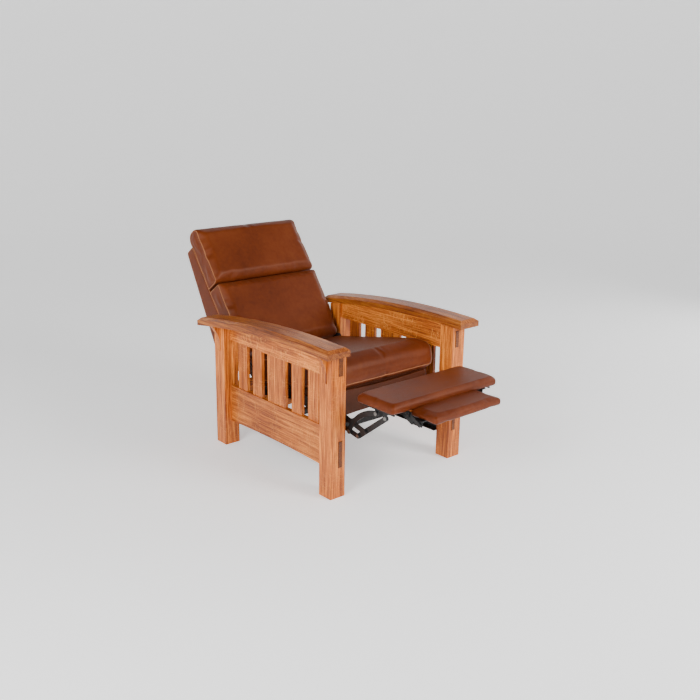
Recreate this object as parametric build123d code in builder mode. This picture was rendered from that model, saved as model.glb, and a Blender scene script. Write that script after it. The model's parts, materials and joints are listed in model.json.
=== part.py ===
from build123d import *
from math import atan2, cos, degrees, hypot, radians, sin, sqrt
import os

# Driving sizes of the oak frame
post_side = 74.0
frame_width = 742.0
frame_depth = 816.0
post_edge_ease = 2.0
floor_z = 0.0

# Bow arms: height of the underside over the two post lines, bow and board
arm_front_height = 592.0
arm_rear_height = 541.0
arm_bow = 24.0
arm_thickness = 34.0
arm_outer_overhang = 48.0
arm_inner_setback = 9.0
arm_front_overhang = 34.0
arm_rear_overhang = 62.0
arm_bevel_drop = 11.0
arm_bevel_run = 15.0

# Side rails, slats and rear rail
rail_thickness = 24.0
rail_inset = 35.0
lower_rail_bottom = 108.0
lower_rail_height = 170.0
lower_rail_arch = 8.0
top_rail_rear_depth = 53.0
rear_tenon_length = 40.0
rear_rail_tenon = 12.0
tenon_thickness = 21.0
tenon_proud = 3.0
top_tenon_height = 74.0
top_tenon_drop = 15.0
low_tenon_height = 111.0
low_tenon_rise = 20.0
rear_top_tenon = 36.0
tenon_chamfer = 1.5
slat_thickness = 14.0
slat_tenon = 12.0
wide_slat_share = 0.1886
narrow_slat_share = 0.1003
slat_gap_share = 0.0629

# Corbels under the arm overhang
corbel_thickness = 22.0
corbel_height = 116.0
corbel_reach = 42.0
corbel_tip = 4.0
corbel_hollow = 15.0

# Dowels between post tops and arms
dowel_radius = 5.0
dowel_length = 50.0
dowel_spacing = 36.0
dowel_outboard = 12.0

# Steel base: angles on the lower rails, tubes across them
angle_leg = 30.0
angle_wall = 4.0
angle_lift = 4.0
tube_side = 25.0
tube_wall = 2.0
tube_front_y = -60.0
tube_rear_y = 190.0

# Steel plates of the reclining mechanism, in layers counted outwards
plate_wall = 4.0
layer_gap = 2.0
plate_post_gap = 27.0
plate_width = 40.0
link_width = 22.0
pin_radius = 4.0
rivet_radius = 8.0
rivet_head = 1.6
hub_width = 20.0
foot_tab = 30.0
screw_radius = 2.5
screw_head_radius = 5.0
screw_head = 2.5
screw_depth = 20.0
bolt_radius = 4.0
bolt_head_radius = 7.0
bolt_head = 4.0
bolt_reach = 12.0

# Pivot places in the side view (y, z), with the footrest out
drive_pivot = (-262.0, 292.0)
knee_pivot = (-446.0, 258.0)
board_pivot = (-600.0, 376.0)
guide_pivot = (-300.3, 333.5)
guide_share = 0.25
control_reach = 140.0
control_tail = 46.3
control_rise = 8.0
control_bow = 26.0
back_pivot = (318.0, 400.0)
plate_front_joint = (-60.0, 325.0)
plate_rear_joint = (190.0, 280.0)
guide_hole_radius = 6.8
control_hole_radius = 4.5
torque_tube_radius = 12.5
torque_tube_wall = 2.0

# Footrest boards
board_beyond_plates = 17.0
board_depth = 200.0
board_thickness = 28.0
board_ahead = 65.0
board_over_pivot = 64.0
board_crown = 3.0
board_round = 11.0
extension_within_lugs = 6.0
extension_depth = 103.0
extension_thickness = 26.0
extension_step = 2.0
extension_reach = 118.0
extension_link = 70.0
extension_link_drop = 30.0
extension_pivot_spacing = 40.0
extension_front_pivot = 52.0
extension_ear_drop = 14.0
extension_link_width = 16.0
extension_lug_setback = 78.0
extension_lug_drop = 24.0
bracket_flange = 21.0
bracket_tail = 120.0
bracket_nose = 50.0
bracket_hang = 14.0
hanger_width = 24.0

# Seat: slope, cushion and the frame that carries it
seat_slope = 11.0
seat_front = (-328.0, 410.0)
seat_length = 620.0
seat_thickness = 118.0
seat_crown = 14.0
seat_round = 30.0
seat_front_bulge = 9.0
cushion_plate_gap = 3.0
seat_board = 22.0
seat_board_height = 50.0
seat_frame_inset = 45.0
seat_frame_back = 20.0
apron_plate_gap = 26.0
apron_height = 112.0
apron_thickness = 16.0
apron_setback = 18.0
apron_top_drop = 8.0
spring_wire = 1.9
spring_bend = 9.0
spring_reach = 22.0
spring_count = 5
spring_pitch_share = 0.311
spring_step = 20.0
spring_passes = 24
spring_drop = 10.0

# Back: lean from the vertical, panel and two loose-look cushions
back_lean = 36.9
back_face = 79.0
back_bottom = 505.0
back_top = 1113.0
back_top_thickness = 60.0
back_bottom_thickness = 150.0
back_beyond_plates = 6.0
back_edge_round = 12.0
back_heel_round = 45.0
back_shell = 8.0
back_frame_member = 60.0
back_frame_thickness = 22.0
back_cushion_thickness = 95.0
back_crown = 12.0
back_round = 26.0
lumbar_bottom = 519.0
cushion_end_share = 0.74
cushion_near_end_share = 0.95
cushion_near_end_place_share = 0.86
cushion_end_crown_share = 0.35
cushion_side_bulge = 5.0
board_end_share = 0.8
cushion_split = 875.0
split_gap = 3.0
head_top = 1168.0
bracket_mid = (560.0, 112.0)
bracket_top = (650.0, 108.0)

# Clearances
pin_gap = 0.05
snug_gap = 0.1
soft_gap = 0.4
overrun = 20.0

sides = (("right", -1), ("left", 1))
half_width = frame_width / 2
half_depth = frame_depth / 2
post_centre_y = half_depth - post_side / 2
rail_outer = half_width - rail_inset
rail_centre = rail_outer - rail_thickness / 2
rail_inner = rail_outer - rail_thickness
rail_span = half_depth - post_side
lower_rail_top = lower_rail_bottom + lower_rail_height
top_rail_bottom = arm_rear_height - top_rail_rear_depth
outer_layer = half_width - post_side - plate_post_gap
cushion_half_width = outer_layer - cushion_plate_gap
apron_half_width = outer_layer - apron_plate_gap
back_half_width = outer_layer + back_beyond_plates
board_half_width = outer_layer + board_beyond_plates
extension_layer = outer_layer - extension_lug_setback
extension_half_width = extension_layer - extension_within_lugs
spring_pitch = outer_layer * spring_pitch_share

os.makedirs("parts", exist_ok=True)


def write(piece, name):
    piece.part.label = name
    export_step(piece.part, f"parts/{name}.step")


def layer(side, index):
    """Mid plane of a steel layer: 0 is the outermost, counted inwards."""
    inner = outer_layer - index * (plate_wall + layer_gap)
    return Plane.YZ.offset(side * (inner + plate_wall / 2))


def step_along(point, angle, distance):
    """Point at a distance forward and up at an angle above the forward direction."""
    return (
        point[0] - distance * cos(radians(angle)),
        point[1] + distance * sin(radians(angle)),
    )


def rise_angle(start, end):
    return degrees(atan2(end[1] - start[1], start[0] - end[0]))


def span(start, end):
    return hypot(end[0] - start[0], end[1] - start[1])


def strap(start, end, width):
    """Round-ended strap between two points of the current side-view sketch."""
    middle = ((start[0] + end[0]) / 2, (start[1] + end[1]) / 2)
    turn = degrees(atan2(end[1] - start[1], end[0] - start[0]))
    with Locations(middle):
        SlotCenterToCenter(span(start, end), width, rotation=turn)


def pierce(point, radius):
    with Locations(point):
        Circle(radius, mode=Mode.SUBTRACT)


# Underside of the bow arm as one arc through both ends of the board
arm_front_y = -(half_depth + arm_front_overhang)
arm_rear_y = half_depth + arm_rear_overhang
arm_chord = hypot(arm_rear_y - arm_front_y, arm_front_height - arm_rear_height)
arm_radius = arm_chord**2 / (8 * arm_bow) + arm_bow / 2
arm_mid_y = (arm_front_y + arm_rear_y) / 2
arm_mid_z = (arm_front_height + arm_rear_height) / 2
arm_drop = arm_radius - arm_bow
arm_centre_y = arm_mid_y - arm_drop * (arm_front_height - arm_rear_height) / arm_chord
arm_centre_z = arm_mid_z - arm_drop * (arm_rear_y - arm_front_y) / arm_chord


def arm_curve(y, lift=0.0):
    """Height of the arm's underside, or of a surface lifted from it, at y."""
    return arm_centre_z + sqrt((arm_radius + lift) ** 2 - (y - arm_centre_y) ** 2)


def arm_arc(rear_y, front_y, lift=0.0):
    middle_y = (rear_y + front_y) / 2
    points = [(y, arm_curve(y, lift)) for y in (rear_y, middle_y, front_y)]
    ThreePointArc(*points)


def dowel_places(side):
    """Centres of the four dowels that hold an arm on its two posts."""
    post_x = side * (half_width - post_side / 2 + dowel_outboard)
    offsets = (-dowel_spacing / 2, dowel_spacing / 2)
    dowel_ys = [end * post_centre_y + offset for end in (-1, 1) for offset in offsets]
    return [(post_x, y, arm_curve(y)) for y in dowel_ys]


# Bow arms, bevelled round the top
arm_inner = half_width - post_side + arm_inner_setback
arm_width = half_width + arm_outer_overhang - arm_inner
for side_name, side in sides:
    with BuildPart() as arm:
        with BuildSketch(Plane.YZ.offset(side * (arm_inner + arm_width / 2))):
            with BuildLine():
                arm_arc(arm_rear_y, arm_front_y)
                Line(
                    (arm_front_y, arm_curve(arm_front_y)),
                    (arm_front_y, arm_curve(arm_front_y, arm_thickness)),
                )
                arm_arc(arm_front_y, arm_rear_y, arm_thickness)
                Line((arm_rear_y, arm_curve(arm_rear_y, arm_thickness)), (arm_rear_y, arm_curve(arm_rear_y)))
            make_face()
        extrude(amount=arm_width / 2, both=True)
        top_face = arm.faces().sort_by(Axis.Z)[-1]
        chamfer(top_face.edges(), arm_bevel_run, arm_bevel_drop, reference=top_face)
        with Locations(dowel_places(side)):
            Cylinder(dowel_radius + snug_gap, dowel_length, mode=Mode.SUBTRACT)
    write(arm, f"arm_{side_name}")


def block(x, y, z, mode=Mode.ADD):
    """Box between a pair of limits along each axis."""
    with Locations(tuple(sum(limits) / 2 for limits in (x, y, z))):
        Box(*[abs(limits[1] - limits[0]) for limits in (x, y, z)], mode=mode)


def turned(side, x_from, x_to, point, radius, mode=Mode.ADD):
    """Round bar along x between two distances from the middle of the chair."""
    with BuildSketch(Plane.YZ.offset(side * (x_from + x_to) / 2)) as end_face:
        with Locations(point):
            Circle(radius)
    extrude(end_face.sketch, amount=abs(x_to - x_from) / 2, both=True, mode=mode)


def pin(side, index_from, index_to, point):
    """Rivet across steel layers, from the inner face of one to the outer face of another."""
    pitch = plate_wall + layer_gap
    outer = outer_layer - index_to * pitch + plate_wall + pin_gap
    turned(side, outer_layer - index_from * pitch, outer, point, pin_radius)
    turned(side, outer, outer + rivet_head, point, rivet_radius)


def screw(side, head_x, way, point):
    """Screw whose head sits on the face at head_x and whose shank runs the way given."""
    turned(side, head_x, head_x + way * screw_depth, point, screw_radius)
    turned(side, head_x, head_x - way * screw_head, point, screw_head_radius)


def screw_hole(side, head_x, way, point):
    shank_end = head_x + way * (screw_depth + snug_gap)
    turned(side, head_x - way * snug_gap, shank_end, point, screw_radius + snug_gap, Mode.SUBTRACT)


# Rail tenons, shared by the rails and the mortises: (y limits, z limits)
front_tenon_y = (-half_depth - tenon_proud, -rail_span)
rear_tenon_y = (rail_span, rail_span + rear_tenon_length)
low_tenon_z = (lower_rail_bottom + low_tenon_rise, lower_rail_bottom + low_tenon_rise + low_tenon_height)
top_tenon_top = arm_curve(-post_centre_y) - top_tenon_drop
top_tenon_z = (top_tenon_top - top_tenon_height, top_tenon_top)
rear_top_tenon_z = (top_rail_bottom + slat_tenon, top_rail_bottom + slat_tenon + rear_top_tenon)
lower_tenons = ((front_tenon_y, low_tenon_z), (rear_tenon_y, low_tenon_z))
top_tenons = ((front_tenon_y, top_tenon_z), (rear_tenon_y, rear_top_tenon_z))
rear_rail_y = (half_depth - rail_inset - rail_thickness, half_depth - rail_inset)
rear_rail_half = half_width - post_side + rear_rail_tenon


# Places of the steel base, shared by the rails, angles, tubes and plates
angle_z = lower_rail_bottom + angle_lift
angle_screw_points = [(y, angle_z + angle_leg / 2) for y in (-rail_span * 2 / 3, 0, rail_span * 2 / 3)]
tube_z = (angle_z + angle_wall, angle_z + angle_wall + tube_side)
tube_half = rail_inner - angle_wall - soft_gap
foot_bolt_x = outer_layer + plate_wall - foot_tab * 2 / 3


def tenon_limits(side):
    return (side * (rail_centre - tenon_thickness / 2), side * (rail_centre + tenon_thickness / 2))


# Corner posts, topped by the arm's curve and mortised for the rails
ends = (("front", -1), ("rear", 1))
for side_name, side in sides:
    for end_name, end in ends:
        outer_y, inner_y = end * half_depth, end * rail_span
        post_x = side * (half_width - post_side / 2)
        with BuildPart() as post:
            with BuildSketch(Plane.YZ.offset(post_x)):
                with BuildLine():
                    Line((inner_y, arm_curve(inner_y)), (inner_y, floor_z))
                    Line((inner_y, floor_z), (outer_y, floor_z))
                    Line((outer_y, floor_z), (outer_y, arm_curve(outer_y)))
                    arm_arc(outer_y, inner_y)
                make_face()
            extrude(amount=post_side / 2, both=True)
            fillet(post.edges().filter_by(Axis.Z), post_edge_ease)
            for y_limits, z_limits in lower_tenons + top_tenons:
                if y_limits[0] * end > 0:
                    block(tenon_limits(side), y_limits, z_limits, Mode.SUBTRACT)
            if end_name == "rear":
                rear_rail_limits = (side * (half_width - post_side - overrun), side * rear_rail_half)
                block(rear_rail_limits, rear_rail_y, (lower_rail_bottom, lower_rail_top), Mode.SUBTRACT)
            with Locations(dowel_places(side)):
                Cylinder(dowel_radius + snug_gap, dowel_length, mode=Mode.SUBTRACT)
        write(post, f"post_{end_name}_{side_name}")


# Dowels between the post tops and the arms
with BuildPart() as arm_dowels:
    for side_name, side in sides:
        with Locations(dowel_places(side)):
            Cylinder(dowel_radius, dowel_length)
write(arm_dowels, "arm_dowels")


# Slats: narrow, narrow, wide, narrow, narrow, centred between the posts
slat_shares = (narrow_slat_share, narrow_slat_share, wide_slat_share, narrow_slat_share, narrow_slat_share)
slat_widths = [share * rail_span * 2 for share in slat_shares]
slat_gap = slat_gap_share * rail_span * 2
slat_row = sum(slat_widths) + slat_gap * (len(slat_widths) - 1)
slat_limits = []
slat_start = -slat_row / 2
for slat_width in slat_widths:
    slat_limits.append((slat_start, slat_start + slat_width))
    slat_start += slat_width + slat_gap
slat_z = (lower_rail_top - slat_tenon, top_rail_bottom + slat_tenon)


def slat_x(side):
    return (side * (rail_centre - slat_thickness / 2), side * (rail_centre + slat_thickness / 2))


for side_name, side in sides:
    for number, y_limits in enumerate(slat_limits, 1):
        with BuildPart() as slat:
            block(slat_x(side), y_limits, slat_z)
        write(slat, f"slat_{side_name}_{number}")


# Lower side rails: arched below, slotted for the slats, tenoned into the posts
for side_name, side in sides:
    with BuildPart() as lower_rail:
        with BuildSketch(Plane.YZ.offset(side * rail_centre)):
            with BuildLine():
                arch_top = (0, lower_rail_bottom + lower_rail_arch)
                ThreePointArc((-rail_span, lower_rail_bottom), arch_top, (rail_span, lower_rail_bottom))
                Line((rail_span, lower_rail_bottom), (rail_span, lower_rail_top))
                Line((rail_span, lower_rail_top), (-rail_span, lower_rail_top))
                Line((-rail_span, lower_rail_top), (-rail_span, lower_rail_bottom))
            make_face()
        extrude(amount=rail_thickness / 2, both=True)
        for y_limits, z_limits in lower_tenons:
            block(tenon_limits(side), y_limits, z_limits)
        for y_limits in slat_limits:
            block(slat_x(side), y_limits, (slat_z[0], lower_rail_top), Mode.SUBTRACT)
        tenon_end = lower_rail.faces().sort_by(Axis.Y)[0]
        chamfer(tenon_end.edges(), tenon_chamfer)
        for point in angle_screw_points:
            screw_hole(side, rail_inner - angle_wall, 1, point)
    write(lower_rail, f"lower_rail_{side_name}")


# Top side rails: straight below, curved above to meet the arm
for side_name, side in sides:
    with BuildPart() as top_rail:
        with BuildSketch(Plane.YZ.offset(side * rail_centre)):
            with BuildLine():
                Line((-rail_span, top_rail_bottom), (rail_span, top_rail_bottom))
                Line((rail_span, top_rail_bottom), (rail_span, arm_curve(rail_span)))
                arm_arc(rail_span, -rail_span)
                Line((-rail_span, arm_curve(-rail_span)), (-rail_span, top_rail_bottom))
            make_face()
        extrude(amount=rail_thickness / 2, both=True)
        for y_limits, z_limits in top_tenons:
            block(tenon_limits(side), y_limits, z_limits)
        for y_limits in slat_limits:
            block(slat_x(side), y_limits, (top_rail_bottom, slat_z[1]), Mode.SUBTRACT)
        tenon_end = top_rail.faces().sort_by(Axis.Y)[0]
        chamfer(tenon_end.edges(), tenon_chamfer)
    write(top_rail, f"top_rail_{side_name}")


# Rear rail between the rear posts
with BuildPart() as rear_rail:
    block((-rear_rail_half, rear_rail_half), rear_rail_y, (lower_rail_bottom, lower_rail_top))
write(rear_rail, "rear_rail")


# Everything above the arm's underside, as a cutter
with BuildPart() as above_arm:
    with BuildSketch(Plane.YZ):
        with BuildLine():
            arm_arc(arm_rear_y, arm_front_y)
            Line((arm_front_y, arm_curve(arm_front_y)), (arm_front_y, arm_front_height + post_side * 2))
            Line(
                (arm_front_y, arm_front_height + post_side * 2),
                (arm_rear_y, arm_front_height + post_side * 2),
            )
            Line((arm_rear_y, arm_front_height + post_side * 2), (arm_rear_y, arm_curve(arm_rear_y)))
        make_face()
    extrude(amount=frame_width, both=True)


# Corbels: hollow-curved brackets on the outer face of each post
for side_name, side in sides:
    for end_name, end in ends:
        corbel_y = end * post_centre_y
        top = arm_curve(corbel_y)
        face_x = side * half_width
        tip = (face_x + side * corbel_tip, top - corbel_height)
        lip = (face_x + side * corbel_reach, top)
        chord = hypot(corbel_reach - corbel_tip, corbel_height)
        middle = (
            (tip[0] + lip[0]) / 2 - side * corbel_hollow * corbel_height / chord,
            (tip[1] + lip[1]) / 2 + corbel_hollow * (corbel_reach - corbel_tip) / chord,
        )
        with BuildPart() as corbel:
            with BuildSketch(Plane.XZ.offset(-corbel_y)):
                with BuildLine():
                    Line((face_x, top + overrun), (face_x, tip[1]))
                    Line((face_x, tip[1]), tip)
                    ThreePointArc(tip, middle, lip)
                    Line(lip, (lip[0], top + overrun))
                    Line((lip[0], top + overrun), (face_x, top + overrun))
                make_face()
            extrude(amount=corbel_thickness / 2, both=True)
            add(above_arm.part, mode=Mode.SUBTRACT)
        write(corbel, f"corbel_{end_name}_{side_name}")


# Steel angles along the foot of each lower rail, with tubes across them
for side_name, side in sides:
    with BuildPart() as base_angle:
        wall_x = (side * rail_inner, side * (rail_inner - angle_wall))
        leg_x = (side * rail_inner, side * (rail_inner - angle_leg))
        y_limits = (-rail_span + soft_gap, rail_span - soft_gap)
        block(wall_x, y_limits, (angle_z, angle_z + angle_leg))
        block(leg_x, y_limits, (angle_z, angle_z + angle_wall))
        for point in angle_screw_points:
            screw_hole(side, rail_inner - angle_wall, 1, point)
    write(base_angle, f"base_angle_{side_name}")

for tube_name, tube_y in (("front", tube_front_y), ("rear", tube_rear_y)):
    with BuildPart() as cross_tube:
        outer_y = (tube_y - tube_side / 2, tube_y + tube_side / 2)
        inner_y = (outer_y[0] + tube_wall, outer_y[1] - tube_wall)
        block((-tube_half, tube_half), outer_y, tube_z)
        inner_z = (tube_z[0] + tube_wall, tube_z[1] - tube_wall)
        block((-tube_half, tube_half), inner_y, inner_z, Mode.SUBTRACT)
        for side_name, side in sides:
            with Locations((side * foot_bolt_x, tube_y, tube_z[1])):
                Cylinder(bolt_radius + snug_gap, tube_wall * 3, mode=Mode.SUBTRACT)
    write(cross_tube, f"cross_tube_{tube_name}")


# Seat frame boards, under the cushion and parallel to it
def seat_plane(x=0.0):
    """Side-view plane of the seat: local x runs back along the cushion, y is up."""
    back = (0, cos(radians(seat_slope)), -sin(radians(seat_slope)))
    return Plane(origin=(x, *seat_front), x_dir=back, z_dir=(1, 0, 0))


def seat_block(x, along, up, mode=Mode.ADD):
    """Box set square to the seat's slope, between limits along each of its axes."""
    with BuildSketch(seat_plane(sum(x) / 2)) as end_face:
        with Locations((sum(along) / 2, sum(up) / 2)):
            Rectangle(abs(along[1] - along[0]), abs(up[1] - up[0]))
    extrude(end_face.sketch, amount=abs(x[1] - x[0]) / 2, both=True, mode=mode)


seat_frame_along = (seat_frame_inset, seat_length - seat_frame_back)
seat_frame_up = (-seat_board_height - soft_gap, -soft_gap)
plate_screw_middle = tuple(sum(pair) / 2 for pair in zip(plate_front_joint, plate_rear_joint))
plate_screw_points = (plate_front_joint, plate_screw_middle, plate_rear_joint)
board_outer = outer_layer
board_inner = outer_layer - seat_board
for side_name, side in sides:
    with BuildPart() as seat_side:
        seat_block((side * board_inner, side * board_outer), seat_frame_along, seat_frame_up)
        for point in plate_screw_points:
            screw_hole(side, outer_layer + plate_wall, -1, point)
    write(seat_side, f"seat_frame_side_{side_name}")
cross_boards = (
    ("front", (seat_frame_along[0], seat_frame_along[0] + seat_board)),
    ("rear", (seat_frame_along[1] - seat_board, seat_frame_along[1])),
)
for board_name, along in cross_boards:
    with BuildPart() as seat_cross:
        seat_block((-board_inner, board_inner), along, seat_frame_up)
    write(seat_cross, f"seat_frame_{board_name}")


# Leather-covered apron that hangs from the front of the seat frame
apron_y = (seat_front[0] + apron_setback, seat_front[0] + apron_setback + apron_thickness)
apron_z = (seat_front[1] - apron_top_drop - apron_height, seat_front[1] - apron_top_drop)
with BuildPart() as apron:
    block((-apron_half_width, apron_half_width), apron_y, apron_z)
    fillet(apron.edges().filter_by(Axis.X), apron_thickness / 4)
write(apron, "seat_apron")


# Sinuous seat springs, from the front board to the rear one
spring_from = cross_boards[0][1][1]
spring_to = cross_boards[1][1][0]
spring_lead = (spring_to - spring_from - spring_step * (spring_passes - 1)) / 2


def sinuous_points(centre_x):
    """Corners of the wire's square zigzag, with straight ends to the boards."""
    points = [(centre_x, spring_from), (centre_x, spring_from + spring_lead)]
    for turn in range(spring_passes):
        along = spring_from + spring_lead + spring_step * turn
        way = 1 if turn % 2 else -1
        if turn:
            points.append((centre_x - way * spring_reach, along))
        if turn < spring_passes - 1:
            points.append((centre_x + way * spring_reach, along))
    points += [(centre_x, spring_to - spring_lead), (centre_x, spring_to)]
    return points


seat_back_way = seat_plane().x_dir
spring_origin = seat_plane().from_local_coords((0, -spring_drop, 0))
spring_plane = Plane(origin=spring_origin, x_dir=(1, 0, 0), z_dir=seat_plane().y_dir)
with BuildPart() as seat_springs:
    for number in range(spring_count):
        centre_x = (number - (spring_count - 1) / 2) * spring_pitch
        with BuildLine(spring_plane) as wire:
            FilletPolyline(*sinuous_points(centre_x), radius=spring_bend)
        start = spring_plane.from_local_coords((centre_x, spring_from, 0))
        with BuildSketch(Plane(origin=start, x_dir=(1, 0, 0), z_dir=seat_back_way)) as wire_section:
            Circle(spring_wire)
        sweep(sections=wire_section.sketch, path=wire.wires()[0])
write(seat_springs, "seat_springs")


# Cushions: sections across the chair, smaller at the ends and crowned in the middle
def cushion_section(plane, start, length, thickness, share, crown, bulge, rounding):
    """Rounded section, with a flat base, a crowned top and bulged front and back."""
    drawn_in = thickness * (1 - share) / 2
    low, high = start[1], start[1] + thickness * share
    near, far = start[0] + drawn_in, start[0] + length - drawn_in
    middle_along, middle_up = (near + far) / 2, (low + high) / 2
    with BuildSketch(plane) as section:
        with BuildLine():
            Line((near, low), (far, low))
            ThreePointArc((far, low), (far + cushion_side_bulge * share, middle_up), (far, high))
            ThreePointArc((far, high), (middle_along, high + crown), (near, high))
            ThreePointArc((near, high), (near - bulge * share, middle_up), (near, low))
        make_face()
        fillet(section.vertices(), rounding * share)
    return section.sketch


def cushion(plane_at, half, start, length, thickness, crown, bulge, rounding, end_share):
    """Loft of five sections from one end of the cushion to the other."""
    near_end = cushion_near_end_place_share
    shares = (
        (-1, end_share, cushion_end_crown_share),
        (-near_end, cushion_near_end_share, (1 + cushion_end_crown_share) / 2),
        (0, 1, 1),
        (near_end, cushion_near_end_share, (1 + cushion_end_crown_share) / 2),
        (1, end_share, cushion_end_crown_share),
    )
    sections = [
        cushion_section(
            plane_at(place * half), start, length, thickness, share, crown * crown_share, bulge, rounding
        )
        for place, share, crown_share in shares
    ]
    loft(sections, ruled=True)


with BuildPart() as seat_cushion:
    cushion(
        seat_plane,
        cushion_half_width,
        (0, 0),
        seat_length,
        seat_thickness,
        seat_crown,
        seat_front_bulge,
        seat_round,
        cushion_end_share,
    )
write(seat_cushion, "seat_cushion")


# Back: side-view plane whose local x runs up the back and whose y points forward
def back_plane(x=0.0):
    up = (0, sin(radians(back_lean)), cos(radians(back_lean)))
    return Plane(origin=(x, 0, 0), x_dir=up, z_dir=(1, 0, 0))


def back_point(along, behind):
    """Side-view place (y, z) of a point up the back and behind its face line."""
    lean = radians(back_lean)
    return (along * sin(lean) + behind * cos(lean), along * cos(lean) - behind * sin(lean))


def back_block(x, along, behind, mode=Mode.ADD):
    with BuildSketch(back_plane(sum(x) / 2)) as end_face:
        with Locations((sum(along) / 2, -sum(behind) / 2)):
            Rectangle(abs(along[1] - along[0]), abs(behind[1] - behind[0]))
    extrude(end_face.sketch, amount=abs(x[1] - x[0]) / 2, both=True, mode=mode)


bracket_points = (back_point(*bracket_mid), back_point(*bracket_top))
bracket_face = back_half_width + plate_wall

cover_corners = (
    (back_bottom, -back_face),
    (back_top, -back_face),
    (back_top, -back_face - back_top_thickness),
    (back_bottom, -back_face - back_bottom_thickness),
)
with BuildPart() as back_cover:
    with BuildSketch(back_plane()) as cover_profile:
        with BuildLine():
            Polyline(*cover_corners, close=True)
        make_face()
        fillet(cover_profile.vertices().sort_by(Axis.X)[-2:], back_edge_round)
        fillet(cover_profile.vertices().sort_by(Axis.Y)[0], back_heel_round)
    extrude(amount=back_half_width, both=True)
    with BuildSketch(back_plane()) as cavity_profile:
        with BuildLine():
            Polyline(*cover_corners, close=True)
        make_face()
        offset(amount=-back_shell, kind=Kind.INTERSECTION, mode=Mode.REPLACE)
        fillet(cavity_profile.vertices().sort_by(Axis.Y)[0], back_heel_round - back_shell)
    extrude(amount=back_half_width - back_shell, both=True, mode=Mode.SUBTRACT)
    for side_name, side in sides:
        for point in bracket_points:
            screw_hole(side, bracket_face, -1, point)
write(back_cover, "back_cover")

with BuildPart() as back_frame:
    frame_half = back_half_width - back_shell - soft_gap
    frame_along = (back_bottom + back_shell + soft_gap, back_top - back_shell - soft_gap)
    frame_front = back_face + back_shell + soft_gap
    frame_behind = (frame_front, frame_front + back_frame_thickness)
    back_block((-frame_half, frame_half), frame_along, frame_behind)
    opening_half = frame_half - back_frame_member
    opening_along = (frame_along[0] + back_frame_member, frame_along[1] - back_frame_member)
    opening_behind = (frame_behind[0] - overrun, frame_behind[1] + overrun)
    back_block((-opening_half, opening_half), opening_along, opening_behind, Mode.SUBTRACT)
    for side_name, side in sides:
        for point in bracket_points:
            screw_hole(side, bracket_face, -1, point)
write(back_frame, "back_frame")

back_cushions = (
    ("lumbar_cushion", lumbar_bottom, cushion_split - split_gap / 2),
    ("head_cushion", cushion_split + split_gap / 2, head_top),
)
for cushion_name, low_end, high_end in back_cushions:
    with BuildPart() as back_cushion:
        cushion(
            back_plane,
            cushion_half_width,
            (low_end + cushion_side_bulge, -back_face + soft_gap),
            high_end - low_end - 2 * cushion_side_bulge,
            back_cushion_thickness,
            back_crown,
            cushion_side_bulge,
            back_round,
            cushion_end_share,
        )
    write(back_cushion, cushion_name)

for side_name, side in sides:
    with BuildPart() as back_bracket:
        with BuildSketch(layer(side, -1)):
            strap(back_pivot, bracket_points[0], plate_width)
            strap(bracket_points[0], bracket_points[1], plate_width)
            pierce(back_pivot, pin_radius + pin_gap)
            for point in bracket_points:
                pierce(point, screw_radius + snug_gap)
        extrude(amount=plate_wall / 2, both=True)
    write(back_bracket, f"back_bracket_{side_name}")

with BuildPart() as back_screws:
    for side_name, side in sides:
        for point in bracket_points:
            screw(side, bracket_face, -1, point)
write(back_screws, "back_screws")


# Side plates of the mechanism: screwed to the seat frame, standing on the cross tubes
foot_z = tube_z[1]
for side_name, side in sides:
    with BuildPart() as side_plate:
        with BuildSketch(layer(side, 0)):
            strap(guide_pivot, drive_pivot, hub_width)
            strap(drive_pivot, plate_front_joint, plate_width)
            strap(guide_pivot, plate_front_joint, hub_width)
            strap(plate_front_joint, plate_rear_joint, plate_width)
            strap(plate_rear_joint, back_pivot, plate_width)
            for joint in (plate_front_joint, plate_rear_joint):
                with Locations((joint[0], (joint[1] + foot_z) / 2)):
                    Rectangle(plate_width, joint[1] - foot_z)
            for pivot in (drive_pivot, guide_pivot, back_pivot):
                pierce(pivot, pin_radius + pin_gap)
            for point in plate_screw_points:
                pierce(point, screw_radius + snug_gap)
        extrude(amount=plate_wall / 2, both=True)
        outer_x = outer_layer + plate_wall
        for joint in (plate_front_joint, plate_rear_joint):
            tab_x = (side * (outer_x - foot_tab), side * outer_x)
            tab_y = (joint[0] - plate_width / 2, joint[0] + plate_width / 2)
            block(tab_x, tab_y, (foot_z, foot_z + plate_wall))
            with Locations((side * foot_bolt_x, joint[0], foot_z)):
                Cylinder(bolt_radius + snug_gap, plate_wall * 3, mode=Mode.SUBTRACT)
    write(side_plate, f"side_plate_{side_name}")

# Screws and bolts that hold the steel to the oak and the seat
with BuildPart() as frame_screws:
    for side_name, side in sides:
        for point in plate_screw_points:
            screw(side, outer_layer + plate_wall, -1, point)
        for point in angle_screw_points:
            screw(side, rail_inner - angle_wall, 1, point)
        for tube_y in (tube_front_y, tube_rear_y):
            bolt_top = foot_z + plate_wall
            with Locations((side * foot_bolt_x, tube_y, bolt_top)):
                Cylinder(bolt_head_radius, bolt_head, align=(Align.CENTER, Align.CENTER, Align.MIN))
                Cylinder(bolt_radius, bolt_reach, align=(Align.CENTER, Align.CENTER, Align.MAX))
write(frame_screws, "frame_screws")

# Fixed pins of the mechanism
with BuildPart() as mechanism_pins:
    for side_name, side in sides:
        pin(side, 1, 0, drive_pivot)
        pin(side, 1, 0, guide_pivot)
        pin(side, 0, -1, back_pivot)
write(mechanism_pins, "mechanism_pins")


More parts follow.
